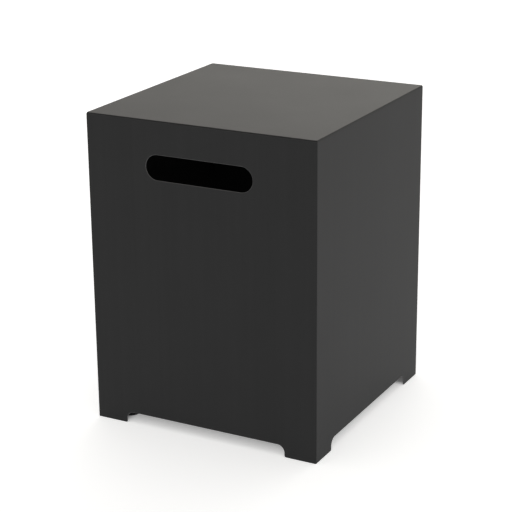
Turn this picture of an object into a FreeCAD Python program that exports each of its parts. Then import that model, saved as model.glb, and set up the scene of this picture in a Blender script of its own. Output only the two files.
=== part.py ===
"""Cover that hides a gas cylinder and serves as a small side table.

The walls are two L-shaped sheets of steel, each bent once, that close to a box. The same sheet serves
twice, turned half way round: each has one slotted face and one plain face. A flat top plate rests on the
wall edges and on four rails. The box stands on four levelling feet and on the corners of its walls.

Origin: middle of the footprint, on the floor. +Z up, slotted front towards -Y, millimetres.
"""
import FreeCAD, Part
import Sketcher
import math
import os
import re

from FreeCAD import Placement, Rotation, Vector

os.makedirs("parts", exist_ok=True)
doc = FreeCAD.newDocument("TankCoverTable")

SIZES = (
    # the whole cover
    ("overall_width", 387.35, "outside of the walls, left to right"),
    ("overall_depth", 387.35, "outside of the walls, front to back"),
    ("overall_height", 501.65, "floor to table top"),
    ("wall_thickness", 1.5, "sheet of the walls"),
    ("top_thickness", 2.0, "plate of the table top"),
    ("bend_radius", 0.8, "inner radius of the vertical wall bend"),
    ("seam_gap", 0.15, "gap where the two wall sheets meet"),
    ("top_edge_radius", 1.3, "rounding of the plate's upper edge"),
    # openings in the walls
    ("slot_length", 181.0, "hand slot, end to end"),
    ("slot_height", 39.4, "hand slot, top to bottom"),
    ("slot_drop", 72.2, "table top down to the middle of the slot"),
    ("foot_width", 53.5, "wall corner to the arch"),
    ("arch_height", 19.0, "floor to the top of the arch"),
    ("arch_radius", 12.0, "upper corners of the arch"),
    ("foot_radius", 3.0, "lower corner of each foot at the arch"),
    # rails under the top and angles in two corners
    ("rail_leg", 20.0, "both legs of a top rail"),
    ("rail_thickness", 1.5, "sheet of the top rails"),
    ("rail_end_gap", 2.0, "end of a rail to the corner angle"),
    ("angle_leg", 20.0, "both legs of a corner angle"),
    ("angle_thickness", 2.0, "sheet of the corner angles"),
    ("angle_end_gap", 2.0, "lower end of an angle to the bracket beneath it"),
    ("inner_bend_radius", 1.0, "inner radius of rails, angles and stiffeners"),
    # stiffeners under the top
    ("stiffener_spacing", 130.0, "distance between the two stiffeners"),
    ("stiffener_height", 15.0, "top plate down to the stiffener's web"),
    ("stiffener_web", 24.0, "width of the web outside"),
    ("stiffener_flange", 11.0, "width of each flange beside the web"),
    ("stiffener_thickness", 1.2, "sheet of the stiffeners"),
    ("stiffener_end_gap", 2.0, "end of a stiffener to the rail"),
    # levelling feet
    ("foot_inset", 37.0, "wall outside to the axis of a levelling foot"),
    ("base_diameter", 32.0, "plastic base"),
    ("base_height", 8.0, "plastic base"),
    ("disc_diameter", 16.0, "disc foot of the threaded stud"),
    ("disc_thickness", 2.0, "disc foot of the threaded stud"),
    ("disc_floor", 3.0, "underside of the base to the floor of its pocket"),
    ("disc_play", 0.2, "axial, disc in its pocket, each side"),
    ("turning_gap", 0.3, "radial, disc and neck in the base"),
    ("neck_diameter", 10.0, "neck between disc and collar"),
    ("neck_height", 2.2, "base up to the collar"),
    ("collar_height", 5.5, "hexagon collar"),
    ("stop_gap", 0.3, "collar to the lock nut with the foot screwed in"),
    ("thread_diameter", 8.0, "threaded stud"),
    ("thread_spare", 8.0, "thread above the weld nut with the foot screwed out"),
    ("foot_travel", 10.0, "how far a foot screws out"),
    ("lock_nut_height", 5.0, "lock nut under the bracket"),
    ("weld_nut_height", 6.5, "weld nut on the bracket"),
    ("across_flats", 13.0, "hexagon collar, lock nut and weld nut"),
    ("bore_clearance", 0.05, "radial, nut bore over the thread"),
    # corner brackets that carry the levelling feet
    ("bracket_size", 50.0, "both sides of the bracket's plate"),
    ("bracket_thickness", 2.5, "sheet of the bracket"),
    ("bracket_bend_radius", 1.5, "inner radius of its bends"),
    ("bracket_relief", 9.0, "square cut out where its two bends meet"),
    ("bracket_corner_cut", 14.0, "chamfer of the corner towards the tank"),
    ("tab_height", 22.0, "tabs above the plate"),
    ("tab_corner_cut", 5.0, "chamfer of the tabs' upper corners"),
    # how far the outline or depth of a cut passes the metal
    ("cut_margin", 1.0, "past the metal"),
)

sheet = doc.addObject("Spreadsheet::Sheet", "Dimensions")
for row, (alias, size, meaning) in enumerate(SIZES, start=1):
    sheet.set("A%d" % row, meaning)
    sheet.set("B%d" % row, str(size))
    sheet.setAlias("B%d" % row, alias)
doc.recompute()

ALIASES = {alias for alias, size, meaning in SIZES}

# Places that several pieces share, as formulas on the sheet
HALF_X = "(overall_width / 2)"
HALF_Y = "(overall_depth / 2)"
INNER_X = "(overall_width / 2 - wall_thickness)"
INNER_Y = "(overall_depth / 2 - wall_thickness)"
WALL_TOP = "(overall_height - top_thickness)"
COLLAR_BOTTOM = "(base_height + neck_height)"
COLLAR_TOP = "(base_height + neck_height + collar_height)"
LOCK_NUT_BOTTOM = "(%s + stop_gap)" % COLLAR_TOP
BRACKET_BOTTOM = "(%s + lock_nut_height)" % LOCK_NUT_BOTTOM
BRACKET_TOP = "(%s + bracket_thickness)" % BRACKET_BOTTOM
TAB_TOP = "(%s + tab_height)" % BRACKET_TOP
THREAD_TOP = "(%s + weld_nut_height + foot_travel + thread_spare)" % BRACKET_TOP
ANGLE_BOTTOM = "(%s + angle_end_gap)" % TAB_TOP
ANGLE_LENGTH = "(%s - %s)" % (WALL_TOP, ANGLE_BOTTOM)
CIRCUMRADIUS = "(across_flats / 2 / cos(30))"
NUT_BORE = "(thread_diameter + 2 * bore_clearance)"

# Points of a line or an arc in a sketch, as constraints number them
START, END, CENTRE = 1, 2, 3
CLOSE = 0.01  # mm, two places count as one
LEAST_CUT = 0.01  # cubic mm that a cut must remove

# Name, turn of the pieces about Z, and the sides of the X and Y axes
CORNERS = (
    ("front_left", 0, -1, -1),
    ("front_right", 90, 1, -1),
    ("back_right", 180, 1, 1),
    ("back_left", 270, -1, 1),
)
SEAM_CORNERS = ("front_left", "back_right")
# Name, turn of the pieces about Z, half the wall's inner length, and middle of the box to the wall
SIDES = (
    ("front", 0, INNER_X, INNER_Y),
    ("right", 90, INNER_Y, INNER_X),
    ("back", 180, INNER_X, INNER_Y),
    ("left", 270, INNER_Y, INNER_X),
)

subparts = []


def formula(text):
    """The same formula with every alias written as a reference to its cell."""
    return re.sub(r"[a-z][a-z_]+", lambda word: cell(word.group()), text)


def cell(word):
    return "Dimensions." + word if word in ALIASES else word


def value(text):
    return float(sheet.evalExpression(formula(text)))


def bind(thing, **formulas):
    """Tie properties of a document object to the sheet, Length="..." and so on."""
    for name, text in formulas.items():
        thing.setExpression(name, formula(text))


def place(thing, x="0", y="0", z="0", turn=0):
    """Put an object at a place given by formulas, turned about Z."""
    thing.Placement = Placement(Vector(value(x), value(y), value(z)), Rotation(Vector(0, 0, 1), turn))
    for axis, text in (("x", x), ("y", y), ("z", z)):
        thing.setExpression("Placement.Base." + axis, formula(text))


def corner_point(x_side, y_side, inset):
    """Formulas of the point that lies inset from both walls' outsides in one corner."""
    return "%d * (%s - %s)" % (x_side, HALF_X, inset), "%d * (%s - %s)" % (y_side, HALF_Y, inset)


def keep(thing, label):
    """Name a sub-part and put it on the list of pieces to write."""
    thing.Label = label
    subparts.append(thing)
    return thing


def new_body(label):
    return keep(doc.addObject("PartDesign::Body", label), label)


def origin_feature(body, role):
    return next(item for item in body.Origin.OriginFeatures if item.Role == role)


def new_sketch(body, name, plane, lift=None):
    """Sketch on one of the body's own origin planes, moved along its normal by a formula."""
    sketch = body.newObject("Sketcher::SketchObject", name)
    sketch.AttachmentSupport = [(origin_feature(body, plane), "")]
    sketch.MapMode = "FlatFace"
    if lift is not None:
        sketch.setExpression("AttachmentOffset.Base.z", formula(lift))
    return sketch


def fix(sketch, kind, *where, size):
    """Add a dimension whose size is a formula."""
    index = sketch.addConstraint(Sketcher.Constraint(kind, *where, value(size)))
    sketch.setExpression("Constraints[%d]" % index, formula(size))


def draw_outline(sketch, corners):
    """Closed outline of level and upright sides through corners (x, y) or (x, y, radius)."""
    points = [Vector(value(corner[0]), value(corner[1]), 0) for corner in corners]
    radii = [value(corner[2]) if len(corner) == 3 else 0.0 for corner in corners]
    count = len(corners)
    ways = [(points[(i + 1) % count] - points[i]).normalize() for i in range(count)]
    sides = []
    for i in range(count):
        after = (i + 1) % count
        start = points[i] + ways[i] * radii[i]
        end = points[after] - ways[i] * radii[after]
        side = sketch.addGeometry(Part.LineSegment(start, end), False)
        sides.append(side)
        if abs(ways[i].x) > abs(ways[i].y):
            sketch.addConstraint(Sketcher.Constraint("Horizontal", side))
            fix(sketch, "DistanceY", side, START, size=corners[i][1])
        else:
            sketch.addConstraint(Sketcher.Constraint("Vertical", side))
            fix(sketch, "DistanceX", side, START, size=corners[i][0])
    for i in range(count):
        before, after = sides[i - 1], sides[i]
        if radii[i] == 0:
            sketch.addConstraint(Sketcher.Constraint("Coincident", before, END, after, START))
            continue
        way_in, way_out = ways[i - 1], ways[i]
        middle = points[i] - way_in * radii[i] + way_out * radii[i]
        left_turn = way_in.cross(way_out).z > 0
        first = -way_out if left_turn else way_in
        angle = math.atan2(first.y, first.x)
        circle = Part.Circle(middle, Vector(0, 0, 1), radii[i])
        arc = sketch.addGeometry(Part.ArcOfCircle(circle, angle, angle + math.pi / 2), False)
        entry, leave = (START, END) if left_turn else (END, START)
        sketch.addConstraint(Sketcher.Constraint("Tangent", before, END, arc, entry))
        sketch.addConstraint(Sketcher.Constraint("Tangent", after, START, arc, leave))
        fix(sketch, "Radius", arc, size=corners[i][2])


def draw_circle(sketch, x, y, diameter):
    circle = Part.Circle(Vector(value(x), value(y), 0), Vector(0, 0, 1), value(diameter) / 2)
    ring = sketch.addGeometry(circle, False)
    fix(sketch, "DistanceX", ring, CENTRE, size=x)
    fix(sketch, "DistanceY", ring, CENTRE, size=y)
    fix(sketch, "Diameter", ring, size=diameter)


def draw_stadium(sketch, height, length, middle):
    """Slot with round ends, centred on the sketch's upright axis."""
    radius = value(height) / 2
    reach = value(length) / 2 - radius
    level = value(middle)
    ends = []
    for side in (-1, 1):
        circle = Part.Circle(Vector(side * reach, level, 0), Vector(0, 0, 1), radius)
        start = -side * math.pi / 2
        ends.append(sketch.addGeometry(Part.ArcOfCircle(circle, start, start + math.pi), False))
    lines = []
    for side in (-1, 1):
        height_of_line = level + side * radius
        edge = Part.LineSegment(Vector(-reach, height_of_line, 0), Vector(reach, height_of_line, 0))
        lines.append(sketch.addGeometry(edge, False))
    left, right = ends
    lower, upper = lines
    sketch.addConstraint(Sketcher.Constraint("Tangent", upper, START, left, START))
    sketch.addConstraint(Sketcher.Constraint("Tangent", lower, START, left, END))
    sketch.addConstraint(Sketcher.Constraint("Tangent", lower, END, right, START))
    sketch.addConstraint(Sketcher.Constraint("Tangent", upper, END, right, END))
    sketch.addConstraint(Sketcher.Constraint("Horizontal", upper))
    fix(sketch, "DistanceX", left, CENTRE, size="-(%s - %s) / 2" % (length, height))
    fix(sketch, "DistanceX", right, CENTRE, size="(%s - %s) / 2" % (length, height))
    for arc in ends:
        fix(sketch, "DistanceY", arc, CENTRE, size=middle)
    fix(sketch, "Radius", left, size="%s / 2" % height)


def pad(body, sketch, length, centred=False, flip=False):
    feature = body.newObject("PartDesign::Pad", sketch.Name + "Pad")
    feature.Profile = sketch
    feature.Midplane = centred
    feature.Reversed = flip
    bind(feature, Length=length)
    doc.recompute()
    return feature


def pocket(body, sketch, length, flip=False):
    """Cut a sketch out of the body, and make sure that something was cut."""
    before = body.Shape.Volume
    feature = body.newObject("PartDesign::Pocket", sketch.Name + "Pocket")
    feature.Profile = sketch
    feature.Reversed = flip
    bind(feature, Length=length)
    doc.recompute()
    if not body.Shape.Volume < before - LEAST_CUT:
        raise RuntimeError("%s removes nothing" % feature.Name)
    return feature


def revolve(body, sketch):
    feature = body.newObject("PartDesign::Revolution", sketch.Name + "Turned")
    feature.Profile = sketch
    feature.ReferenceAxis = (sketch, ["V_Axis"])
    feature.Angle = 360
    doc.recompute()
    return feature


def add_hexagon(body, height, where):
    """Hexagon of a nut or a collar, added to the body at a place given by formulas."""
    prism = body.newObject("PartDesign::AdditivePrism", "Hexagon")
    prism.AttachmentSupport = [(origin_feature(body, "XY_Plane"), "")]
    prism.MapMode = "FlatFace"
    prism.Polygon = 6
    bind(prism, Circumradius=CIRCUMRADIUS, Height=height)
    for axis, text in zip("xyz", where):
        prism.setExpression("AttachmentOffset.Base." + axis, formula(text))
    doc.recompute()
    return prism


def soften(body, test, size, kind="PartDesign::Fillet"):
    """Fillet or chamfer every edge of the body whose middle passes the test."""
    names = []
    for number, edge in enumerate(body.Shape.Edges, start=1):
        middle = edge.valueAt((edge.FirstParameter + edge.LastParameter) / 2)
        if test(body.Placement.inverse().multVec(middle)):
            names.append("Edge%d" % number)
    if not names:
        raise RuntimeError("no edge to soften on %s" % body.Label)
    base = body.Tip
    feature = body.newObject(kind, body.Name + "Edge%d" % len(body.Group))
    feature.Base = (base, names)
    feature.setExpression("Radius" if kind == "PartDesign::Fillet" else "Size", formula(size))
    doc.recompute()
    return feature


def near(a, b):
    return abs(a - b) < CLOSE


def arch_corners(half):
    """Arch between two feet: rounded at the top, and flared where it leaves the floor."""
    side = "(%s - foot_width)" % half
    flare = "(%s + foot_radius + cut_margin)" % side
    return (
        ("-" + flare, "-cut_margin"),
        ("-" + flare, "0"),
        ("-" + side, "0", "foot_radius"),
        ("-" + side, "arch_height", "arch_radius"),
        (side, "arch_height", "arch_radius"),
        (side, "0", "foot_radius"),
        (flare, "0"),
        (flare, "-cut_margin"),
    )


def make_top_panel():
    """Flat plate with softened upper edges."""
    body = new_body("top_panel")
    plate = new_sketch(body, "TopPlate", "XY_Plane")
    corner = "(bend_radius + wall_thickness)"
    draw_outline(plate, (
        ("-" + HALF_X, "-" + HALF_Y, corner),
        (HALF_X, "-" + HALF_Y, corner),
        (HALF_X, HALF_Y, corner),
        ("-" + HALF_X, HALF_Y, corner),
    ))
    pad(body, plate, "top_thickness")
    top = value("top_thickness")
    soften(body, lambda middle: near(middle.z, top), "top_edge_radius")
    place(body, z=WALL_TOP)


def make_shell(label, turn):
    """Two walls from one sheet: a slotted wall and a plain wall round one bend."""
    body = new_body(label)
    section = new_sketch(body, "WallSection", "XY_Plane")
    free_end = "(%s - seam_gap)" % INNER_Y
    draw_outline(section, (
        ("-" + HALF_X, "-" + HALF_Y),
        (HALF_X, "-" + HALF_Y, "(bend_radius + wall_thickness)"),
        (HALF_X, free_end),
        (INNER_X, free_end),
        (INNER_X, "-" + INNER_Y, "bend_radius"),
        ("-" + HALF_X, "-" + INNER_Y),
    ))
    pad(body, section, WALL_TOP)
    slot = new_sketch(body, "HandSlot", "XZ_Plane")
    draw_stadium(slot, "slot_height", "slot_length", "(overall_height - slot_drop)")
    pocket(body, slot, "overall_depth", flip=True)
    front_arch = new_sketch(body, "SlottedWallArch", "XZ_Plane")
    draw_outline(front_arch, arch_corners(HALF_X))
    pocket(body, front_arch, "overall_depth", flip=True)
    side_arch = new_sketch(body, "PlainWallArch", "YZ_Plane")
    draw_outline(side_arch, arch_corners(HALF_Y))
    pocket(body, side_arch, "overall_width", flip=True)
    place(body, turn=turn)


def make_corner_angle(corner, turn, x_side, y_side):
    """Angle inside the corner where the two shells meet, spot-welded to both."""
    body = new_body("corner_angle_" + corner)
    section = new_sketch(body, "AngleSection", "XY_Plane")
    draw_outline(section, (
        ("0", "0", "(inner_bend_radius + angle_thickness)"),
        ("angle_leg", "0"),
        ("angle_leg", "angle_thickness"),
        ("angle_thickness", "angle_thickness", "inner_bend_radius"),
        ("angle_thickness", "angle_leg"),
        ("0", "angle_leg"),
    ))
    pad(body, section, ANGLE_LENGTH)
    place(body, *corner_point(x_side, y_side, "wall_thickness"), z=ANGLE_BOTTOM, turn=turn)


def make_top_rail(side, turn, half_span, reach):
    """Angle under the top plate, spot-welded to it and to one wall."""
    body = new_body("top_rail_" + side)
    section = new_sketch(body, "RailSection", "YZ_Plane")
    wall = "-" + reach
    inner = "(%s + rail_thickness)" % wall
    edge = "(%s + rail_leg)" % wall
    draw_outline(section, (
        (wall, "-rail_leg"),
        (inner, "-rail_leg"),
        (inner, "-rail_thickness", "inner_bend_radius"),
        (edge, "-rail_thickness"),
        (edge, "0"),
        (wall, "0", "(inner_bend_radius + rail_thickness)"),
    ))
    pad(body, section, "2 * (%s - angle_leg - rail_end_gap)" % half_span, centred=True)
    place(body, z=WALL_TOP, turn=turn)


def make_stiffener(label, side):
    """Hat channel under the top plate, from front to back."""
    body = new_body(label)
    section = new_sketch(body, "HatSection", "XZ_Plane")
    web = "(stiffener_web / 2)"
    inside = "(stiffener_web / 2 - stiffener_thickness)"
    lip = "(stiffener_web / 2 - stiffener_thickness + stiffener_flange)"
    outer_radius = "(inner_bend_radius + stiffener_thickness)"
    draw_outline(section, (
        ("-" + lip, "-stiffener_thickness"),
        ("-" + web, "-stiffener_thickness", "inner_bend_radius"),
        ("-" + web, "-stiffener_height", outer_radius),
        (web, "-stiffener_height", outer_radius),
        (web, "-stiffener_thickness", "inner_bend_radius"),
        (lip, "-stiffener_thickness"),
        (lip, "0"),
        (inside, "0", outer_radius),
        (inside, "stiffener_thickness - stiffener_height", "inner_bend_radius"),
        ("-" + inside, "stiffener_thickness - stiffener_height", "inner_bend_radius"),
        ("-" + inside, "0", outer_radius),
        ("-" + lip, "0"),
    ))
    pad(body, section, "2 * (%s - rail_leg - stiffener_end_gap)" % INNER_Y, centred=True)
    place(body, x="%d * stiffener_spacing / 2" % side, z=WALL_TOP)


def make_bracket(corner, turn, x_side, y_side):
    """Corner plate with two bent tabs and a weld nut, which carries a levelling foot."""
    body = new_body("leveller_bracket_" + corner)
    plate = new_sketch(body, "BracketPlate", "XY_Plane", lift=BRACKET_BOTTOM)
    draw_outline(plate, (
        ("bracket_relief", "0"),
        ("bracket_size", "0"),
        ("bracket_size", "bracket_size"),
        ("0", "bracket_size"),
        ("0", "bracket_relief"),
        ("bracket_relief", "bracket_relief"),
    ))
    pad(body, plate, "bracket_thickness")
    for plane in ("XZ_Plane", "YZ_Plane"):
        tab = new_sketch(body, "BracketTab", plane)
        draw_outline(tab, (
            ("bracket_relief", BRACKET_BOTTOM),
            ("bracket_size", BRACKET_BOTTOM),
            ("bracket_size", TAB_TOP),
            ("bracket_relief", TAB_TOP),
        ))
        pad(body, tab, "bracket_thickness", flip=plane == "XZ_Plane")
    low, high, tip = value(BRACKET_BOTTOM), value(BRACKET_TOP), value(TAB_TOP)
    relief, thick, far = value("bracket_relief"), value("bracket_thickness"), value("bracket_size")

    def outer_bend(middle):
        return near(middle.z, low) and (near(middle.x, 0) or near(middle.y, 0))

    def inner_bend(middle):
        return near(middle.z, high) and (near(middle.x, thick) or near(middle.y, thick))

    def tab_corner(middle):
        spots = (middle.x, middle.y)
        return near(middle.z, tip) and any(near(spot, end) for spot in spots for end in (relief, far))

    def far_corner(middle):
        return near(middle.x, far) and near(middle.y, far)

    soften(body, outer_bend, "bracket_bend_radius + bracket_thickness")
    soften(body, inner_bend, "bracket_bend_radius")
    soften(body, tab_corner, "tab_corner_cut", kind="PartDesign::Chamfer")
    soften(body, far_corner, "bracket_corner_cut", kind="PartDesign::Chamfer")
    axis = "(foot_inset - wall_thickness)"
    add_hexagon(body, "weld_nut_height", (axis, axis, BRACKET_TOP))
    bore = new_sketch(body, "NutBore", "XY_Plane", lift="(%s + weld_nut_height)" % BRACKET_TOP)
    draw_circle(bore, axis, axis, NUT_BORE)
    pocket(body, bore, "weld_nut_height + bracket_thickness + cut_margin")
    place(body, *corner_point(x_side, y_side, "wall_thickness"), turn=turn)


def make_leveller_base(corner, turn, x_side, y_side):
    """Round plastic base with a pocket that holds the stud's disc."""
    body = new_body("leveller_base_" + corner)
    profile = new_sketch(body, "BaseProfile", "XZ_Plane")
    pocket_radius = "(disc_diameter / 2 + turning_gap)"
    lip_radius = "(neck_diameter / 2 + turning_gap)"
    pocket_top = "(disc_floor + disc_thickness + 2 * disc_play)"
    draw_outline(profile, (
        ("0", "0"),
        ("base_diameter / 2", "0"),
        ("base_diameter / 2", "base_height"),
        (lip_radius, "base_height"),
        (lip_radius, pocket_top),
        (pocket_radius, pocket_top),
        (pocket_radius, "disc_floor"),
        ("0", "disc_floor"),
    ))
    revolve(body, profile)
    place(body, *corner_point(x_side, y_side, "foot_inset"), turn=turn)


def make_leveller_stud(corner, turn, x_side, y_side):
    """Threaded stud, its disc foot turned on the lower end and a hexagon collar for the spanner."""
    body = new_body("leveller_stud_" + corner)
    profile = new_sketch(body, "StudProfile", "XZ_Plane")
    disc_bottom = "(disc_floor + disc_play)"
    disc_top = "(disc_floor + disc_play + disc_thickness)"
    draw_outline(profile, (
        ("0", disc_bottom),
        ("disc_diameter / 2", disc_bottom),
        ("disc_diameter / 2", disc_top),
        ("neck_diameter / 2", disc_top),
        ("neck_diameter / 2", COLLAR_TOP),
        ("thread_diameter / 2", COLLAR_TOP),
        ("thread_diameter / 2", THREAD_TOP),
        ("0", THREAD_TOP),
    ))
    revolve(body, profile)
    add_hexagon(body, "collar_height", ("0", "0", COLLAR_BOTTOM))
    place(body, *corner_point(x_side, y_side, "foot_inset"), turn=turn)


def make_lock_nut(corner, turn, x_side, y_side):
    """Hexagon nut under the bracket, round the threaded stud."""
    hexagon = doc.addObject("Part::Prism", "LockNutHexagon")
    hexagon.Polygon = 6
    bind(hexagon, Circumradius=CIRCUMRADIUS, Height="lock_nut_height")
    bore = doc.addObject("Part::Cylinder", "LockNutBore")
    bind(bore, Radius=NUT_BORE + " / 2", Height="lock_nut_height")
    nut = keep(doc.addObject("Part::Cut", "LockNut"), "lock_nut_" + corner)
    nut.Base = hexagon
    nut.Tool = bore
    place(nut, *corner_point(x_side, y_side, "foot_inset"), z=LOCK_NUT_BOTTOM, turn=turn)


make_top_panel()
make_shell("shell_front_right", 0)
make_shell("shell_back_left", 180)
for side_row in SIDES:
    make_top_rail(*side_row)
make_stiffener("top_stiffener_left", -1)
make_stiffener("top_stiffener_right", 1)
for corner_row in CORNERS:
    if corner_row[0] in SEAM_CORNERS:
        make_corner_angle(*corner_row)
    make_bracket(*corner_row)
    make_leveller_base(*corner_row)
    make_leveller_stud(*corner_row)
    make_lock_nut(*corner_row)

doc.recompute()
for item in doc.Objects:
    if "Invalid" in item.State or "Error" in item.State:
        raise RuntimeError("%s did not build" % item.Label)
for piece in subparts:
    if piece.Shape.isNull() or not piece.Shape.isValid():
        raise RuntimeError("%s has no valid shape" % piece.Label)
for piece in subparts:
    piece.Shape.exportStep("parts/%s.step" % piece.Label)
print("%d sub-parts written" % len(subparts))
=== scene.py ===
"""Looks of a tank cover table: powder coat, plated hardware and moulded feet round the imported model.

The file is laid out as an add-on and run as a script. Every length is in metres, in the frame's axes:
the slotted front faces -Y, +Z is up, and the floor is at zero.
"""
import math

import bmesh
import bpy
from bpy.props import FloatProperty, FloatVectorProperty, IntProperty, PointerProperty
from mathutils import Matrix, Vector


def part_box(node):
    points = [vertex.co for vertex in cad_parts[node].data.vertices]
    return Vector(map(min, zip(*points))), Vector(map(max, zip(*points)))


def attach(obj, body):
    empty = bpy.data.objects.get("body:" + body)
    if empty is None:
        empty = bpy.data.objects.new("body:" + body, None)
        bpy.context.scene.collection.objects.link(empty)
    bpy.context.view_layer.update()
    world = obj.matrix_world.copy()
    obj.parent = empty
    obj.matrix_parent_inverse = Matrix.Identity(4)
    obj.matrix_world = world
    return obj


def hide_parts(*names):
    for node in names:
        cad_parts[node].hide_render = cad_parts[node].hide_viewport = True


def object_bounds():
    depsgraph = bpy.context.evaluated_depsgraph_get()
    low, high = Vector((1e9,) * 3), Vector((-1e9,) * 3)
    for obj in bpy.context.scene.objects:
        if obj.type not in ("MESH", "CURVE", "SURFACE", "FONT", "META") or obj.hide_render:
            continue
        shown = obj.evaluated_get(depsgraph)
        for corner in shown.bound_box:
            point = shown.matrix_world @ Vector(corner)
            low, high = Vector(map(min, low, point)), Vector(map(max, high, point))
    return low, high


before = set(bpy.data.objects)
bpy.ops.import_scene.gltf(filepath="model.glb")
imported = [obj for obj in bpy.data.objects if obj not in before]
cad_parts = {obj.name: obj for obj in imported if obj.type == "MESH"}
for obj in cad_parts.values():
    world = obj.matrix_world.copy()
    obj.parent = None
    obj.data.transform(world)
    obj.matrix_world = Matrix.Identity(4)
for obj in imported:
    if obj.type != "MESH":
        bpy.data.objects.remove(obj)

bl_info = {
    "name": "Tank Cover Table",
    "version": (1, 0, 0),
    "blender": (4, 5, 0),
    "location": "View3D > Sidebar > Tank Cover",
    "description": "Coats, hardware and feet for the packed tank cover table",
    "category": "Object",
}

CAD_BOX = [list(corner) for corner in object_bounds()]
CORNERS = ("front_left", "front_right", "back_right", "back_left")
MM = 0.001
UP = Vector((0, 0, 1))

# The photograph's camera, from the seven visible corners of the box; angles in degrees
CAMERA_PLACE = Vector((1.157, -2.178, 1.087))
CAMERA_PAN = 28.16  # from +Y towards -X
CAMERA_TILT = 18.91  # downwards
CAMERA_ROLL = -0.55
CAMERA_REACH = 50.0
FOCAL_PIXELS = 1622.0
IMAGE_PIXELS = 512.0
SENSOR = 36.0  # mm

# Studio: the ways to its two soft lights, seen from the object, and how narrow they are
BACK_LIGHT_WAY = Vector((-0.2, 1.0, 0.25))
BACK_LIGHT_FOCUS = 6.0
FRONT_LIGHT_WAY = Vector((0.3, -1.0, 0.3))
FRONT_LIGHT_FOCUS = 3.0
OVERHEAD_PLACE = (0.0, -0.4, 2.6)
OVERHEAD_WIDTH = 2.2
WARM_LIGHT = (1.0, 0.97, 0.915)
FLOOR_REACH = 9.0

# Ramps of the floor's glow and its masks: share of the cover's half width, and strength there. The glow
# fades towards the middle under the cover, a painted shade, and is cut back in the corner pockets behind the
# feet, inside the walls, a painted shadow of the feet.
PAINTED_SHADE_UNDER_COVER = ((0.55, 0.0), (0.97, 1.0))
CORNER_PAINTED_SHADOW = ((0.72, 0.0), (0.79, 0.8))
WALL_MASK = ((0.985, 1.0), (1.0, 0.0))

# Thickness of the inner sheets
RAIL_SHEET = 1.5 * MM
STIFFENER_SHEET = 1.2 * MM
ANGLE_SHEET = 2.0 * MM
BRACKET_SHEET = 2.5 * MM

# Levelling stud, from its disc up
DISC_RADIUS = 8 * MM
DISC_HEIGHT = 2 * MM
NECK_RADIUS = 5 * MM
NECK_ABOVE_BASE = 2.2 * MM
COLLAR_TO_LOCK_NUT = 0.3 * MM
STUD_ROUNDING = 0.3 * MM
NECK_IN_COLLAR = 0.2 * MM
COLLAR_IN_NECK = 0.5 * MM
THREAD_IN_COLLAR = 0.4 * MM
THREAD_RADIUS = 4 * MM
THREAD_RUN_OUT = 0.9 * MM
THREAD_TIP = 1 * MM
THREAD_TIP_INSET = 0.8 * MM
THREAD_SIDES = 36
RIDGE_HALF_BASE = 0.46  # of the pitch
RIDGE_HALF_CREST = 0.07  # of the pitch
RIDGE_SINK = 0.05 * MM  # into the root

# Nuts and collars
HEX_SIDES = 6
NUT_CROWN = 0.97  # of the way from a nut's axis to its flats, where the chamfer starts
NUT_CHAMFER = math.radians(30)
NUT_HOLE = 4.05 * MM
COUNTERSINK = 0.5 * MM

# Moulded base, from its underside up
BASE_CHAMFER = 0.6 * MM
PAD_RADIUS = 9.5 * MM
PAD_RECESS = 0.6 * MM
POCKET_RADIUS = 8.3 * MM
POCKET_LOW = 3.0 * MM
POCKET_HIGH = 5.4 * MM
NECK_HOLE = 5.3 * MM
NECK_HOLE_CHAMFER = 0.3 * MM
LIP_GROOVE_DEPTH = 0.35 * MM
LIP_GROOVE_WIDTH = 1.0 * MM
LIP_GROOVE_SLOPE = 0.3 * MM
ROUNDING_STEPS = 5
SIDES_PER_FLUTE = 8

# Mark of a spot weld: share of its radius, and height in millimetres
SPOT_PROFILE = ((0, 0.03), (0.45, 0.05), (0.68, 0.16), (0.86, 0.12), (1, -0.02), (0, -0.02))
SPOT_SIDES = 24

# Places of the spot welds
STIFFENER_LIP = 11 * MM
ANGLE_END = 22 * MM  # from a corner angle's top to the end of its row of spots
TAB_SPOT_DROP = 8 * MM
TAB_SPOTS = (18 * MM, 40 * MM)  # from the wall of a bracket's other tab

# Weld bead beside a nut
BEAD_TURNS = (30, 150, 270)  # degrees, to the middles of three flats
BEAD_LENGTH = 7 * MM
BEAD_RADIUS = 1.3 * MM
BEAD_RIPPLES = 7
BEAD_RIPPLE_STEPS = 6
BEAD_RIPPLE_HEIGHT = 0.06  # of the bead's radius
BEAD_BLUNTNESS = 4
BEAD_SIDES = 12

# Meshes and their shading
ROUND_SIDES = 72  # a multiple of six, so that a hexagon's corners fall on vertices
SHARP_ANGLE = math.radians(32)
HARDWARE_SHARP_ANGLE = math.radians(24)
FLAT_ANGLE = math.radians(1)
CUT_EDGE_ANGLE = math.radians(40)
CUT_EDGE_SEGMENTS = 3
FLAT_SHADING_WEIGHT = 100
WELD_DISTANCE = 0.002 * MM

# Shaders
NOISE_MIDDLE = 0.5
BLACK = (0, 0, 0)
WHITE = (1, 1, 1)
MIX_FIRST, MIX_SECOND = 6, 7  # a Mix node's colour sockets, which share their names with others
MIX_RESULT = 2


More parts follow.
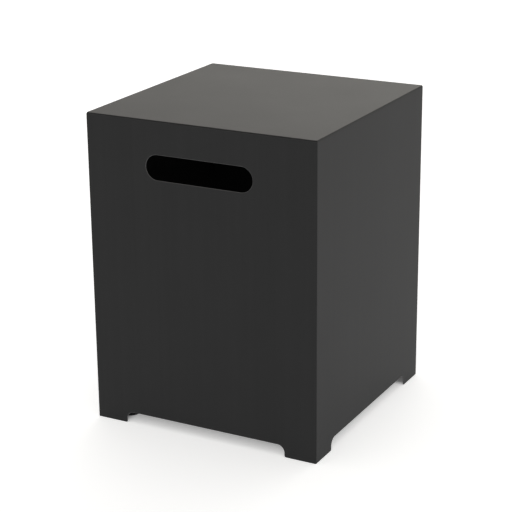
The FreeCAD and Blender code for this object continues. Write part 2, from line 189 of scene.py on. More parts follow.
class CoatSettings(bpy.types.PropertyGroup):
    """Powder coat of the sheet metal."""

    colour: FloatVectorProperty(
        name="Colour", description="Colour of the powder coat outside", subtype="COLOR",
        size=3, min=0, max=1, default=(0.0172, 0.0176, 0.0184))
    inner_colour: FloatVectorProperty(
        name="Inner colour", description="Colour of the thinner coat on the frame", subtype="COLOR",
        size=3, min=0, max=1, default=(0.0160, 0.0162, 0.0166))
    roughness: FloatProperty(
        name="Roughness", description="Gloss of the coat, 0 for a mirror", subtype="FACTOR",
        min=0, max=1, default=0.50)
    sheen: FloatProperty(
        name="Sheen", description="How strongly the coat mirrors light", subtype="FACTOR",
        min=0, max=1, default=0.13)
    grain: FloatProperty(
        name="Grain", description="Width of the coat's fine texture", subtype="DISTANCE",
        unit="LENGTH", min=0.0002, default=0.9 * MM)
    grain_depth: FloatProperty(
        name="Grain depth", description="Depth of the fine texture", subtype="DISTANCE",
        unit="LENGTH", min=0, default=0.022 * MM)
    wall_edge: FloatProperty(
        name="Wall edge", description="Rounding of the cut edges of walls and top, under the coat",
        subtype="DISTANCE", unit="LENGTH", min=0, default=0.5 * MM)
    frame_edge: FloatProperty(
        name="Frame edge", description="Rounding of the cut edges of the inner frame",
        subtype="DISTANCE", unit="LENGTH", min=0, default=0.22 * MM)
    edge_sheen: FloatProperty(
        name="Edge sheen", description="How strongly the thinner coat on a cut edge mirrors light",
        subtype="FACTOR", min=0, max=1, default=0.95)


class HardwareSettings(bpy.types.PropertyGroup):
    """Zinc-plated studs and nuts, and the welds."""

    plate_colour: FloatVectorProperty(
        name="Plating", description="Colour of the zinc plate", subtype="COLOR",
        size=3, min=0, max=1, default=(0.56, 0.57, 0.58))
    pitch: FloatProperty(
        name="Pitch", description="Pitch of the levelling thread", subtype="DISTANCE",
        unit="LENGTH", min=0.0005, default=1.25 * MM)
    thread_depth: FloatProperty(
        name="Thread depth", description="From the thread's crest to its root", subtype="DISTANCE",
        unit="LENGTH", min=0, default=0.68 * MM)
    across_flats: FloatProperty(
        name="Across flats", description="Hexagon collar, lock nut and weld nut", subtype="DISTANCE",
        unit="LENGTH", min=0.004, default=13 * MM)
    spot_diameter: FloatProperty(
        name="Spot weld", description="Diameter of a spot weld's mark", subtype="DISTANCE",
        unit="LENGTH", min=0.001, default=5 * MM)
    spot_spacing: FloatProperty(
        name="Spot spacing", description="Distance between spot welds, about", subtype="DISTANCE",
        unit="LENGTH", min=0.01, default=62 * MM)


class FootSettings(bpy.types.PropertyGroup):
    """Moulded bases of the levelling feet."""

    colour: FloatVectorProperty(
        name="Colour", description="Colour of the moulded base", subtype="COLOR",
        size=3, min=0, max=1, default=(0.010, 0.010, 0.010))
    flutes: IntProperty(
        name="Flutes", description="Grip flutes round the base", min=6, default=24)
    flute_depth: FloatProperty(
        name="Flute depth", description="Depth of a grip flute", subtype="DISTANCE",
        unit="LENGTH", min=0, default=0.45 * MM)
    edge: FloatProperty(
        name="Upper edge", description="Rounding of the base's upper edge", subtype="DISTANCE",
        unit="LENGTH", min=0.1 * MM, default=2.0 * MM)


class StageSettings(bpy.types.PropertyGroup):
    """Floor, light and camera."""

    floor_colour: FloatVectorProperty(
        name="Floor", description="Colour of the floor", subtype="COLOR",
        size=3, min=0, max=1, default=(0.91, 0.925, 0.95))
    floor_glow: FloatProperty(
        name="Floor glow", description="Light that comes through the floor, as on a light table",
        min=0, default=0.494)
    surround: FloatProperty(
        name="Surround", description="Strength of the even light from all round", min=0, default=0.48)
    back_light: FloatProperty(
        name="Back light", description="Strength of the soft light behind",
        min=0, default=2.10)
    front_light: FloatProperty(
        name="Front light", description="Strength of the wider and weaker light in front",
        min=0, default=0.40)
    overhead_power: FloatProperty(
        name="Overhead light", description="Power of the large soft light overhead", subtype="POWER",
        unit="POWER", min=0, default=5.6)


class Term:
    """A socket's value in a shader, on which + - * / and ** add Math nodes."""

    def __init__(self, shader, socket):
        self.shader = shader
        self.socket = socket

    def __add__(self, other):
        return self.shader.math("ADD", self, other)

    def __radd__(self, other):
        return self.shader.math("ADD", other, self)

    def __sub__(self, other):
        return self.shader.math("SUBTRACT", self, other)

    def __rsub__(self, other):
        return self.shader.math("SUBTRACT", other, self)

    def __mul__(self, other):
        return self.shader.math("MULTIPLY", self, other)

    def __rmul__(self, other):
        return self.shader.math("MULTIPLY", other, self)

    def __truediv__(self, other):
        return self.shader.math("DIVIDE", self, other)

    def __pow__(self, other):
        return self.shader.math("POWER", self, other)


class Shader:
    """The nodes of one material or of the world."""

    def __init__(self, owner, coordinates="Object"):
        self.owner = owner
        owner.use_nodes = True
        self.tree = owner.node_tree
        self.tree.nodes.clear()
        self.place = self.node("ShaderNodeTexCoord", {}, {}, coordinates)

    def node(self, kind, settings, sockets, output=0):
        """Add a node. Its settings are set before its sockets, and one output comes back as a Term."""
        node = self.tree.nodes.new(kind)
        for name, setting in settings.items():
            if name == "stops":
                for element, (position, shade) in zip(node.color_ramp.elements, setting):
                    element.position = position
                    element.color = (shade, shade, shade, 1)
            else:
                setattr(node, name, setting)
        for key, value in sockets.items():
            if isinstance(value, Term):
                self.tree.links.new(value.socket, node.inputs[key])
            else:
                node.inputs[key].default_value = value
        return None if output is None else Term(self, node.outputs[output])

    def math(self, operation, *values):
        """Add a Math node on these numbers and Terms."""
        return self.node("ShaderNodeMath", {"operation": operation}, dict(enumerate(values)))

    def along(self, axis):
        """Distance along the X, Y or Z axis."""
        return self.node("ShaderNodeSeparateXYZ", {}, {"Vector": self.place}, axis)

    def noise(self, width, detail=2.0, stretch=(1, 1, 1)):
        """Noise between 0 and 1 whose blobs are about that wide, in metres."""
        place = self.place
        if stretch != (1, 1, 1):
            place = self.node("ShaderNodeMapping", {"vector_type": "TEXTURE"},
                              {"Vector": place, "Scale": stretch})
        return self.node("ShaderNodeTexNoise", {}, {"Vector": place, "Scale": 1 / width, "Detail": detail})

    def ramp(self, value, *stops):
        """Grey ramp between two stops, each a position and a shade."""
        return self.node("ShaderNodeValToRGB", {"stops": stops}, {"Fac": value})

    def blend(self, factor, first, second):
        """Mix two colours, or a colour Term with one."""
        sockets = {"Factor": factor, MIX_FIRST: opaque(first), MIX_SECOND: opaque(second)}
        return self.node("ShaderNodeMix", {"data_type": "RGBA"}, sockets, MIX_RESULT)

    def bump(self, height, distance):
        """Normal of a surface that is raised by height times distance."""
        return self.node("ShaderNodeBump", {}, {"Height": height, "Distance": distance, "Strength": 1.0})

    def finish(self, sockets):
        """Join a surface with these sockets to the material's output."""
        surface = self.node("ShaderNodeBsdfPrincipled", {}, sockets)
        self.node("ShaderNodeOutputMaterial", {}, {"Surface": surface}, None)
        return self.owner


def opaque(colour):
    """A colour with its alpha, or a colour Term as it is."""
    return colour if isinstance(colour, Term) else tuple(colour) + (1.0,)


def tinted(colour, share):
    """The same hue, that many times as light."""
    return tuple(part * share for part in colour)


def swing(noise, width):
    """Noise turned into an even swing about zero, of that width."""
    return (noise - NOISE_MIDDLE) * width


def edge_coat_with_painted_light(name, settings, seam):
    """Thinner, shinier coat on cut edges, lighter than the wall coat: partly edge wear, partly a painted
    highlight of the lit edges. In the seam under the top the edges turn to painted shade.
    """
    seam_blur = 1 * MM
    seam_low = seam - seam_blur / 2
    wear_width = 14 * MM
    clean_roughness = 0.44
    seam_roughness = 0.4  # on top of the clean coat's
    peel_roughness = 0.05
    shader = Shader(bpy.data.materials.new(name))
    # Mask of the seam under the top, where the edges get painted shade and a rougher finish.
    in_seam = shader.ramp((shader.along("Z") - seam_low) / seam_blur, (0.0, 0.0), (1.0, 1.0))
    peel = shader.noise(settings.grain, detail=3.0)
    wear = shader.noise(wear_width, detail=3.0)
    # The two lighter tones are partly edge wear and partly a painted highlight of lit cut edges; the darkest
    # tone is painted shade in the seam under the top.
    thin_coat_and_highlight = tinted(settings.colour, 1.7)
    bare_edge_and_highlight = tinted(settings.colour, 2.6)
    painted_seam_shade = tinted(settings.colour, 0.3)
    return shader.finish({
        "Base Color": shader.blend(in_seam, shader.blend(wear, thin_coat_and_highlight, bare_edge_and_highlight), painted_seam_shade),
        "Roughness": clean_roughness + in_seam * seam_roughness + swing(peel, peel_roughness),
        "Normal": shader.bump(peel, settings.grain_depth),
        "Specular IOR Level": settings.edge_sheen,
    })


def powder_coat(name, colour, settings, streaks):
    """Matte black powder coat: fine orange peel, faint mottling, and faint upright streaks on walls."""
    swell_width = 6 * settings.grain
    peel_height = 0.75  # of the swell's
    mottle_width = 70 * MM
    mottle_tone = 0.25
    mottle_roughness = 0.035
    peel_roughness = 0.05
    streak_width = 9 * MM
    streak_stretch = (1, 1, 60)
    speck_width = 1.6 * MM
    speck_stops = ((0.70, 0.0), (0.80, 1.0))
    speck_tone = 0.2
    shader = Shader(bpy.data.materials.new(name))
    peel = shader.noise(settings.grain, detail=3.0)
    swell = shader.noise(swell_width)
    mottle = shader.noise(mottle_width, detail=4.0)
    streak = shader.noise(streak_width, stretch=streak_stretch)
    speck = shader.ramp(shader.noise(speck_width, detail=0.0), *speck_stops)
    lighter = tuple(min(1.0, part * 1.5 + 0.002) for part in colour)
    lightness = swing(mottle, mottle_tone) + streak * streaks + speck * speck_tone
    return shader.finish({
        "Base Color": shader.blend(lightness, colour, lighter),
        "Roughness": settings.roughness + swing(mottle, mottle_roughness) + swing(peel, peel_roughness),
        "Normal": shader.bump(peel * peel_height + swell, settings.grain_depth),
        "Specular IOR Level": settings.sheen,
    })


def zinc_plate(name, settings):
    """Bright zinc plate with a faint yellow bloom and turning marks."""
    bloom_width = 5 * MM
    bloom_stops = ((0.35, 0.0), (0.65, 1.0))
    bloom_tint = (1.04, 0.98, 0.86)
    bloom_roughness = 0.08
    mark_width = 0.5 * MM
    mark_stretch = (1, 1, 0.12)
    mark_depth = 0.006 * MM
    mark_roughness = 0.14
    clean_roughness = 0.26
    shader = Shader(bpy.data.materials.new(name))
    bloom = shader.ramp(shader.noise(bloom_width, detail=3.0), *bloom_stops)
    base = tuple(settings.plate_colour)
    warm = tuple(part * share for part, share in zip(base, bloom_tint))
    marks = shader.noise(mark_width, stretch=mark_stretch)
    return shader.finish({
        "Base Color": shader.blend(bloom, base, warm),
        "Metallic": 1.0,
        "Roughness": clean_roughness + marks * mark_roughness + bloom * bloom_roughness,
        "Normal": shader.bump(marks, mark_depth),
    })


def moulded_plastic(name, settings):
    """Black moulded plastic with a fine spark-eroded texture and light scuffs."""
    texture_width = 0.45 * MM
    texture_depth = 0.015 * MM
    texture_roughness = 0.08
    scuff_width = 2.5 * MM
    scuff_stretch = (1, 1, 0.3)
    scuff_stops = ((0.62, 0.0), (0.74, 1.0))
    scuff_tone = 0.5
    scuff_roughness = 0.2
    clean_roughness = 0.46
    shader = Shader(bpy.data.materials.new(name))
    texture = shader.noise(texture_width)
    scuff = shader.ramp(shader.noise(scuff_width, detail=5.0, stretch=scuff_stretch), *scuff_stops)
    worn = tinted(settings.colour, 2.6)
    return shader.finish({
        "Base Color": shader.blend(scuff * scuff_tone, settings.colour, worn),
        "Roughness": clean_roughness + scuff * scuff_roughness + swing(texture, texture_roughness),
        "Normal": shader.bump(texture, texture_depth),
        "Specular IOR Level": 0.22,
    })


def floor_paper(name, settings):
    """Matte white floor that glows a little, as on a light table masked where the cover stands: the glow
    fades under the cover, a painted shade, and drops further in its corner pockets, a painted shadow of the
    feet.
    """
    cloud_width = 0.6
    shader = Shader(bpy.data.materials.new(name))
    half = CAD_BOX[1][0]
    across = shader.math("ABSOLUTE", shader.along("X")) / half
    deep = shader.math("ABSOLUTE", shader.along("Y")) / half
    farther = shader.math("MAXIMUM", across, deep)
    nearer = shader.math("MINIMUM", across, deep)
    # Painted shadow of the feet in the corner pockets, and painted shade under the cover where the glow
    # fades.
    corner_painted_shadow = shader.ramp(nearer, *CORNER_PAINTED_SHADOW) * shader.ramp(farther, *WALL_MASK)
    glow = shader.ramp(farther, *PAINTED_SHADE_UNDER_COVER) * (1 - corner_painted_shadow)
    darker = tinted(settings.floor_colour, 0.985)
    return shader.finish({
        "Base Color": shader.blend(shader.noise(cloud_width), settings.floor_colour, darker),
        "Roughness": 0.9,
        "Specular IOR Level": 0.1,
        "Emission Color": shader.blend(glow, BLACK, WHITE),
        "Emission Strength": settings.floor_glow,
    })


def studio_surround(settings):
    """Even light from all round, with a soft light behind the object and a weaker one in front."""
    shader = Shader(bpy.data.worlds.new("surround"), "Generated")

    def soft_light(way, focus):
        facing = shader.node("ShaderNodeVectorMath", {"operation": "DOT_PRODUCT"},
                             {0: shader.place, 1: way.normalized()}, "Value")
        return shader.math("MAXIMUM", facing, 0.0) ** focus

    behind = soft_light(BACK_LIGHT_WAY, BACK_LIGHT_FOCUS) * settings.back_light
    in_front = soft_light(FRONT_LIGHT_WAY, FRONT_LIGHT_FOCUS) * settings.front_light
    strength = behind + in_front + settings.surround
    light = shader.node("ShaderNodeBackground", {}, {"Color": opaque(WARM_LIGHT), "Strength": strength})
    shader.node("ShaderNodeOutputWorld", {}, {"Surface": light}, None)
    return shader.owner


def lathe(work, frame_matrix, profile, sides=ROUND_SIDES, shape=None):
    """Add a turned surface to a bmesh. The profile is (radius, height) pairs, and a radius of zero
    closes the surface with a point. shape(angle, radius, height) may move a point of the profile."""
    rings = []
    for radius, height in profile:
        if radius == 0:
            rings.append([work.verts.new(frame_matrix @ Vector((0, 0, height)))])
            continue
        ring = []
        for step in range(sides):
            angle = 2 * math.pi * step / sides
            reach, lift = (radius, height) if shape is None else shape(angle, radius, height)
            point = Vector((reach * math.cos(angle), reach * math.sin(angle), lift))
            ring.append(work.verts.new(frame_matrix @ point))
        rings.append(ring)
    for lower, upper in zip(rings, rings[1:]):
        for step in range(sides):
            after = (step + 1) % sides
            corners = [lower[step % len(lower)], lower[after % len(lower)],
                       upper[after % len(upper)], upper[step % len(upper)]]
            work.faces.new(list(dict.fromkeys(corners)))


def ring_profile(profile):
    """The same profile closed on itself, for a turned piece with a hole."""
    return list(profile) + [profile[0]]


def hexagon(across_flats, hole, low, high):
    """Profile and shape, for a lathe, of a nut whose chamfers cut curved arcs into its flats.

    The profile runs from the hole's lower rim out, up and back in, and the nut's corners lie at
    0, 60 ... degrees."""
    flat = across_flats / 2
    crown = flat * NUT_CROWN

    def shape(angle, radius, height):
        if radius <= crown:
            return radius, height
        sector = 2 * math.pi / HEX_SIDES
        corner = flat / math.cos(angle % sector - sector / 2)
        drop = (corner - crown) * math.tan(NUT_CHAMFER)
        return corner, height + drop if height < (low + high) / 2 else height - drop

    return [(hole, low), (crown, low), (flat, low), (flat, high), (crown, high), (hole, high)], shape


def helix_ridge(work, centre, low, high, root, crest, pitch):
    """Closed ridge of a thread that winds up round an upright axis, and fades out at both ends."""
    count = int((high - low) / pitch * THREAD_SIDES)
    fade = THREAD_SIDES // 2
    half_base = RIDGE_HALF_BASE * pitch
    half_crest = RIDGE_HALF_CREST * pitch
    inside = root - RIDGE_SINK
    before = None
    for step in range(count + 1):
        angle = 2 * math.pi * step / THREAD_SIDES
        height = low + pitch * step / THREAD_SIDES
        share = min(1.0, step / fade, (count - step) / fade)
        top = root + (crest - root) * share
        outline = ((inside, -half_base), (top, -half_crest), (top, half_crest), (inside, half_base))
        ring = []
        for radius, lift in outline:
            point = Vector((radius * math.cos(angle), radius * math.sin(angle), height + lift))
            ring.append(work.verts.new(centre + point))
        if before is None:
            work.faces.new(ring)
        else:
            for side in range(len(ring)):
                after = (side + 1) % len(ring)
                work.faces.new((before[side], before[after], ring[after], ring[side]))
        before = ring
    work.faces.new(reversed(before))


def make_piece(name, work, material, body, sharp_angle=SHARP_ANGLE):
    """Turn a bmesh into a smooth-shaded piece that rides on a body."""
    bmesh.ops.recalc_face_normals(work, faces=work.faces)
    mesh = bpy.data.meshes.new(name)
    work.to_mesh(mesh)
    work.free()
    mesh.polygons.foreach_set("use_smooth", [True] * len(mesh.polygons))
    mesh.set_sharp_from_angle(angle=sharp_angle)
    mesh.materials.append(material)
    piece = bpy.data.objects.new(name, mesh)
    bpy.context.scene.collection.objects.link(piece)
    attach(piece, body)
    return piece


def nodes_named(*starts):
    """CAD nodes whose names start with one of these words, in the order of their names."""
    found = [name for name in sorted(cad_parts) if name.startswith(starts)]
    if not found:
        raise RuntimeError("no CAD node is named " + " or ".join(starts))
    return found


def dress_sheet(name, materials, edge):
    """Give a CAD node its coat, and round its cut edges. The last of its materials is the edges'."""
    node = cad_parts[name]
    node.data.materials.clear()
    for material in materials:
        node.data.materials.append(material)
    weld = node.modifiers.new("join_faces", "WELD")
    weld.merge_threshold = WELD_DISTANCE
    flat = node.modifiers.new("whole_flats", "DECIMATE")
    flat.decimate_type = "DISSOLVE"
    flat.angle_limit = FLAT_ANGLE
    bevel = node.modifiers.new("coated_edges", "BEVEL")
    bevel.width = edge
    bevel.segments = CUT_EDGE_SEGMENTS
    bevel.material = len(materials) - 1
    bevel.limit_method = "ANGLE"
    bevel.angle_limit = CUT_EDGE_ANGLE
    shading = node.modifiers.new("flat_shading", "WEIGHTED_NORMAL")
    shading.weight = FLAT_SHADING_WEIGHT


def foot_axis(corner):
    """Middle of a levelling foot on the floor."""
    low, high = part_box("leveller_base_" + corner)
    return Vector(((low.x + high.x) / 2, (low.y + high.y) / 2, 0))


def corner_walls(low, high):
    """For a box that stands in a corner: the ways out to its two walls, and where it meets them."""
    x_out = 1 if low.x > 0 else -1
    y_out = 1 if low.y > 0 else -1
    wall_x = high.x if x_out > 0 else low.x
    wall_y = high.y if y_out > 0 else low.y
    return x_out, y_out, wall_x, wall_y


def evenly(start, end, spacing):
    """Places from start to end, about that far apart, half a space in from both ends."""
    count = max(1, round((end - start) / spacing))
    return [start + (end - start) * (step + 0.5) / count for step in range(count)]


def turned_to(place, way):
    """Matrix that stands a turned form on a place, with its axis along a way."""
    return Matrix.Translation(place) @ Vector(way).to_track_quat("Z", "Y").to_matrix().to_4x4()


def spot_mark(work, place, way, diameter):
    """Shallow mark of a spot weld: a ring with a dimple, standing on a sheet that faces that way."""
    profile = [(share * diameter / 2, height * MM) for share, height in SPOT_PROFILE]
    lathe(work, turned_to(place, way), profile, sides=SPOT_SIDES)


class TANKCOVER_OT_stage(bpy.types.Operator):
    """Pale floor, soft studio light and the photograph's camera."""

    bl_idname = "tankcover.stage"
    bl_label = "Stage"

    def execute(self, context):
        settings = context.scene.tankcover_stage
        self.add_floor(context, settings)
        self.add_light(context, settings)
        self.add_camera(context)
        return {"FINISHED"}

    def add_floor(self, context, settings):
        work = bmesh.new()
        bmesh.ops.create_grid(work, x_segments=1, y_segments=1, size=FLOOR_REACH)
        mesh = bpy.data.meshes.new("floor")
        work.to_mesh(mesh)
        work.free()
        mesh.materials.append(floor_paper("floor_paper", settings))
        floor = bpy.data.objects.new("floor", mesh)
        context.scene.collection.objects.link(floor)

    def add_light(self, context, settings):
        context.scene.world = studio_surround(settings)
        context.scene.view_settings.view_transform = "Standard"
        data = bpy.data.lights.new("overhead_light", "AREA")
        data.size = OVERHEAD_WIDTH
        data.energy = settings.overhead_power
        light = bpy.data.objects.new("overhead_light", data)
        light.location = OVERHEAD_PLACE
        context.scene.collection.objects.link(light)

    def add_camera(self, context):
        pan, tilt, roll = (math.radians(angle) for angle in (CAMERA_PAN, CAMERA_TILT, CAMERA_ROLL))
        ahead = Vector((-math.sin(pan) * math.cos(tilt), math.cos(pan) * math.cos(tilt), -math.sin(tilt)))
        level = ahead.cross(UP).normalized()
        upward = level.cross(ahead)
        right = level * math.cos(roll) + upward * math.sin(roll)
        top = upward * math.cos(roll) - level * math.sin(roll)
        data = bpy.data.cameras.new("camera")
        data.sensor_width = SENSOR
        data.lens = FOCAL_PIXELS / IMAGE_PIXELS * SENSOR
        data.clip_end = CAMERA_REACH
        camera = bpy.data.objects.new("camera", data)
        turn = Matrix((right, top, -ahead)).transposed().to_4x4()
        camera.matrix_world = Matrix.Translation(CAMERA_PLACE) @ turn
        context.scene.collection.objects.link(camera)
        context.scene.camera = camera


class TANKCOVER_OT_walls(bpy.types.Operator):
    """Powder coat and coated edges on the walls and the top plate; the edges carry a painted highlight, and
    painted shade in the seam under the top.
    """

    bl_idname = "tankcover.walls"
    bl_label = "Walls and top"

    def execute(self, context):
        settings = context.scene.tankcover_coat
        colour = tuple(settings.colour)
        walls = powder_coat("wall_coat", colour, settings, streaks=0.35)
        top = powder_coat("top_coat", colour, settings, streaks=0.0)
        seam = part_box("top_panel")[0].z - 2 * settings.wall_edge
        edges = edge_coat_with_painted_light("edge_coat_with_painted_light", settings, seam)
        for name in nodes_named("shell_"):
            dress_sheet(name, (walls, edges), settings.wall_edge)
        for name in nodes_named("top_panel"):
            dress_sheet(name, (top,), settings.wall_edge)
        return {"FINISHED"}


class TANKCOVER_OT_inner_frame(bpy.types.Operator):
    """Thinner coat on rails, stiffeners, corner angles and foot brackets."""

    bl_idname = "tankcover.inner_frame"
    bl_label = "Inner frame"

    def execute(self, context):
        settings = context.scene.tankcover_coat
        coat = powder_coat("frame_coat", tuple(settings.inner_colour), settings, streaks=0.0)
        for name in nodes_named("top_rail_", "top_stiffener_", "corner_angle_", "leveller_bracket_"):
            dress_sheet(name, (coat,), settings.frame_edge)
        return {"FINISHED"}


class TANKCOVER_OT_studs(bpy.types.Operator):
    """Levelling studs with their disc, hexagon collar and real thread."""

    bl_idname = "tankcover.studs"
    bl_label = "Levelling studs"

    def execute(self, context):
        settings = context.scene.tankcover_hardware
        material = zinc_plate("stud_zinc", settings)
        for corner in CORNERS:
            self.build(corner, settings, material)
        return {"FINISHED"}

    def build(self, corner, settings, material):
        node = "leveller_stud_" + corner
        low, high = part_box(node)
        centre = foot_axis(corner)
        disc_top = low.z + DISC_HEIGHT
        collar_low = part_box("leveller_base_" + corner)[1].z + NECK_ABOVE_BASE
        collar_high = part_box("lock_nut_" + corner)[0].z - COLLAR_TO_LOCK_NUT
        neck_top = collar_low + NECK_IN_COLLAR
        thread_low = collar_high + THREAD_RUN_OUT
        thread_high = high.z - THREAD_TIP
        root = THREAD_RADIUS - settings.thread_depth
        at_axis = Matrix.Translation(centre)
        work = bmesh.new()
        lathe(work, at_axis, (
            (0, low.z),
            (DISC_RADIUS - STUD_ROUNDING, low.z),
            (DISC_RADIUS, low.z + STUD_ROUNDING),
            (DISC_RADIUS, disc_top - STUD_ROUNDING),
            (DISC_RADIUS - STUD_ROUNDING, disc_top),
            (NECK_RADIUS + STUD_ROUNDING, disc_top),
            (NECK_RADIUS, disc_top + STUD_ROUNDING),
            (NECK_RADIUS, neck_top),
            (0, neck_top),
        ))
        collar, shape = hexagon(settings.across_flats, NECK_RADIUS - COLLAR_IN_NECK, collar_low, collar_high)
        lathe(work, at_axis, ring_profile(collar), shape=shape)
        lathe(work, at_axis, (
            (0, collar_high - THREAD_IN_COLLAR),
            (NECK_RADIUS, collar_high - THREAD_IN_COLLAR),
            (root, thread_low),
            (root, thread_high),
            (root - THREAD_TIP_INSET, high.z),
            (0, high.z),
        ))
        helix_ridge(work, centre, thread_low, thread_high, root, THREAD_RADIUS, settings.pitch)
        piece = make_piece("threaded_stud_" + corner, work, material, "stud_" + corner,
                           HARDWARE_SHARP_ANGLE)
        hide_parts(node)


class TANKCOVER_OT_lock_nuts(bpy.types.Operator):
    """Chamfered lock nuts under the brackets."""

    bl_idname = "tankcover.lock_nuts"
    bl_label = "Lock nuts"

    def execute(self, context):
        settings = context.scene.tankcover_hardware
        material = zinc_plate("nut_zinc", settings)
        for corner in CORNERS:
            node = "lock_nut_" + corner
            low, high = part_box(node)
            outside, shape = hexagon(settings.across_flats, NUT_HOLE + COUNTERSINK, low.z, high.z)
            bore = [(NUT_HOLE, high.z - COUNTERSINK), (NUT_HOLE, low.z + COUNTERSINK)]
            work = bmesh.new()
            lathe(work, Matrix.Translation(foot_axis(corner)), ring_profile(outside + bore), shape=shape)
            piece = make_piece("chamfered_nut_" + corner, work, material, "cover",
                               HARDWARE_SHARP_ANGLE)
            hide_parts(node)
        return {"FINISHED"}


class TANKCOVER_OT_foot_bases(bpy.types.Operator):
    """Moulded bases with grip flutes and a lip round the stud's neck."""

    bl_idname = "tankcover.foot_bases"
    bl_label = "Foot bases"

    def execute(self, context):
        settings = context.scene.tankcover_foot
        material = moulded_plastic("foot_plastic", settings)
        for corner in CORNERS:
            self.build(corner, settings, material)
        return {"FINISHED"}

    def build(self, corner, settings, material):
        node = "leveller_base_" + corner
        low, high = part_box(node)
        rim = (high.x - low.x) / 2
        edge = settings.edge
        groove_inside = NECK_HOLE + NECK_HOLE_CHAMFER
        groove_outside = groove_inside + LIP_GROOVE_WIDTH

        def fluted(angle, radius, height):
            share = max(0.0, min(1.0, (radius - rim + 2 * edge) / (2 * edge)))
            wave = max(0.0, math.cos(angle * settings.flutes)) ** 2
            return radius - settings.flute_depth * wave * share, height

        rounding = []
        for part in range(ROUNDING_STEPS + 1):
            turn = math.pi / 2 * part / ROUNDING_STEPS
            rounding.append((rim - edge * (1 - math.cos(turn)), high.z - edge * (1 - math.sin(turn))))
        profile = [
            (0, low.z + PAD_RECESS),
            (PAD_RADIUS - PAD_RECESS, low.z + PAD_RECESS),
            (PAD_RADIUS, low.z),
            (rim - BASE_CHAMFER, low.z),
            (rim, low.z + BASE_CHAMFER),
        ] + rounding + [
            (groove_outside + LIP_GROOVE_SLOPE, high.z),
            (groove_outside, high.z - LIP_GROOVE_DEPTH),
            (groove_inside, high.z - LIP_GROOVE_DEPTH),
            (NECK_HOLE, high.z - 2 * NECK_HOLE_CHAMFER),
            (NECK_HOLE, POCKET_HIGH),
            (POCKET_RADIUS, POCKET_HIGH),
            (POCKET_RADIUS, POCKET_LOW),
            (0, POCKET_LOW),
        ]
        work = bmesh.new()
        at_axis = Matrix.Translation(foot_axis(corner))
        lathe(work, at_axis, profile, sides=SIDES_PER_FLUTE * settings.flutes, shape=fluted)
        piece = make_piece("moulded_base_" + corner, work, material, "base_" + corner)
        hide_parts(node)


class TANKCOVER_OT_spot_welds(bpy.types.Operator):
    """Marks of the spot welds on rails, stiffeners, corner angles and bracket tabs."""

    bl_idname = "tankcover.spot_welds"
    bl_label = "Spot welds"

    def execute(self, context):
        coat = bpy.data.materials["frame_coat"]
        hardware = context.scene.tankcover_hardware
        groups = {
            "rail_spot_welds": self.rail_marks(hardware.spot_spacing),
            "stiffener_spot_welds": self.stiffener_marks(hardware.spot_spacing),
            "angle_spot_welds": self.angle_marks(hardware.spot_spacing),
            "bracket_spot_welds": self.bracket_marks(),
        }
        for name, marks in groups.items():
            work = bmesh.new()
            for place, way in marks:
                spot_mark(work, Vector(place), way, hardware.spot_diameter)
            make_piece(name, work, coat, "cover")
        return {"FINISHED"}

    def rail_marks(self, spacing):
        """Places on both legs of each rail, with the ways that the legs face."""
        for name in nodes_named("top_rail_"):
            low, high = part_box(name)
            lengthwise = 0 if high.x - low.x > high.y - low.y else 1
            across = 1 - lengthwise
            outward = 1 if (low[across] + high[across]) > 0 else -1
            wall = high[across] if outward > 0 else low[across]
            for along in evenly(low[lengthwise], high[lengthwise], spacing):
                upright = Vector((0, 0, (low.z + high.z) / 2 - RAIL_SHEET))
                upright[lengthwise] = along
                upright[across] = wall - outward * RAIL_SHEET
                way = Vector((0, 0, 0))
                way[across] = -outward
                yield upright, way
                under = Vector((0, 0, high.z - RAIL_SHEET))
                under[lengthwise] = along
                under[across] = (low[across] + high[across]) / 2 - outward * RAIL_SHEET
                yield under, -UP

    def stiffener_marks(self, spacing):
        for name in nodes_named("top_stiffener_"):
            low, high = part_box(name)
            inset = STIFFENER_LIP / 2 - STIFFENER_SHEET
            for along in evenly(low.y, high.y, spacing):
                for across in (low.x + inset, high.x - inset):
                    yield (across, along, high.z - STIFFENER_SHEET), -UP

    def angle_marks(self, spacing):
        for name in nodes_named("corner_angle_"):
            low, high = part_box(name)
            x_out, y_out, wall_x, wall_y = corner_walls(low, high)
            middle_x = (low.x + high.x) / 2 - x_out * ANGLE_SHEET
            middle_y = (low.y + high.y) / 2 - y_out * ANGLE_SHEET
            for height in evenly(low.z, high.z - ANGLE_END, spacing):
                yield (wall_x - x_out * ANGLE_SHEET, middle_y, height), (-x_out, 0, 0)
                yield (middle_x, wall_y - y_out * ANGLE_SHEET, height), (0, -y_out, 0)

    def bracket_marks(self):
        for name in nodes_named("leveller_bracket_"):
            low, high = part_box(name)
            x_out, y_out, wall_x, wall_y = corner_walls(low, high)
            height = high.z - TAB_SPOT_DROP
            for off in TAB_SPOTS:
                yield (wall_x - x_out * BRACKET_SHEET, wall_y - y_out * off, height), (-x_out, 0, 0)
                yield (wall_x - x_out * off, wall_y - y_out * BRACKET_SHEET, height), (0, -y_out, 0)


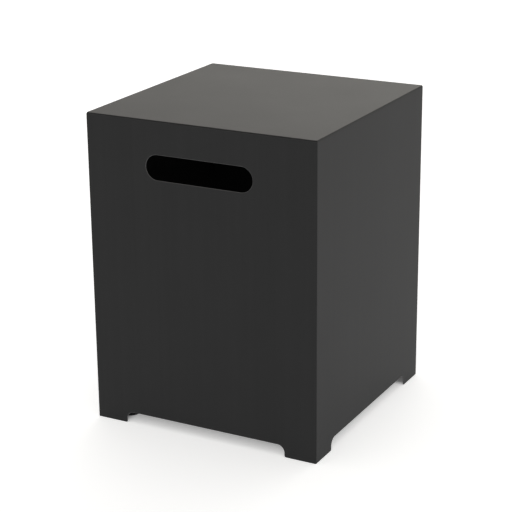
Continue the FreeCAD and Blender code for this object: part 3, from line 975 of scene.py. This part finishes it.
class TANKCOVER_OT_nut_welds(bpy.types.Operator):
    """Three short weld beads round each weld nut."""

    bl_idname = "tankcover.nut_welds"
    bl_label = "Weld nut beads"

    def execute(self, context):
        coat = bpy.data.materials["frame_coat"]
        flat = context.scene.tankcover_hardware.across_flats / 2
        profile = self.bead_profile()
        work = bmesh.new()
        for corner in CORNERS:
            centre = foot_axis(corner)
            centre.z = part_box("lock_nut_" + corner)[1].z + BRACKET_SHEET
            for turn in BEAD_TURNS:
                angle = math.radians(turn)
                outward = Vector((math.cos(angle), math.sin(angle), 0))
                sideways = Vector((-outward.y, outward.x, 0))
                lathe(work, turned_to(centre + outward * flat, sideways), profile, sides=BEAD_SIDES)
        make_piece("weld_nut_beads", work, coat, "cover")
        return {"FINISHED"}

    def bead_profile(self):
        """Rippled bead with blunt ends, about its own axis."""
        steps = BEAD_RIPPLES * BEAD_RIPPLE_STEPS
        profile = []
        for step in range(steps + 1):
            share = 2 * step / steps - 1
            ripple = 1 + BEAD_RIPPLE_HEIGHT * math.cos(2 * math.pi * BEAD_RIPPLES * step / steps)
            swell = (1 - share ** BEAD_BLUNTNESS) ** 0.5 * ripple
            profile.append((BEAD_RADIUS * swell if abs(share) < 1 else 0, share * BEAD_LENGTH / 2))
        return profile


class TANKCOVER_PT_panel(bpy.types.Panel):
    """Sizes, colours and operators of the tank cover."""

    bl_idname = "TANKCOVER_PT_panel"
    bl_label = "Tank Cover"
    bl_space_type = "VIEW_3D"
    bl_region_type = "UI"
    bl_category = "Tank Cover"

    def draw(self, context):
        for group in SETTINGS:
            box = self.layout.box()
            settings = getattr(context.scene, group)
            for name in settings.bl_rna.properties.keys():
                if name not in ("rna_type", "name"):
                    box.prop(settings, name)
        for operator in OPERATORS:
            self.layout.operator(operator.bl_idname)


SETTINGS = {
    "tankcover_coat": CoatSettings,
    "tankcover_hardware": HardwareSettings,
    "tankcover_foot": FootSettings,
    "tankcover_stage": StageSettings,
}
OPERATORS = (
    TANKCOVER_OT_stage,
    TANKCOVER_OT_walls,
    TANKCOVER_OT_inner_frame,
    TANKCOVER_OT_studs,
    TANKCOVER_OT_lock_nuts,
    TANKCOVER_OT_foot_bases,
    TANKCOVER_OT_spot_welds,
    TANKCOVER_OT_nut_welds,
)
CLASSES = tuple(SETTINGS.values()) + OPERATORS + (TANKCOVER_PT_panel,)


def register():
    for cls in CLASSES:
        bpy.utils.register_class(cls)
    for name, cls in SETTINGS.items():
        setattr(bpy.types.Scene, name, PointerProperty(type=cls))


def unregister():
    for name in SETTINGS:
        delattr(bpy.types.Scene, name)
    for cls in reversed(CLASSES):
        bpy.utils.unregister_class(cls)


def main():
    register()
    bpy.ops.tankcover.stage()
    bpy.ops.tankcover.walls()
    bpy.ops.tankcover.inner_frame()
    bpy.ops.tankcover.studs()
    bpy.ops.tankcover.lock_nuts()
    bpy.ops.tankcover.foot_bases()
    bpy.ops.tankcover.spot_welds()
    bpy.ops.tankcover.nut_welds()


if __name__ == "__main__":
    main()
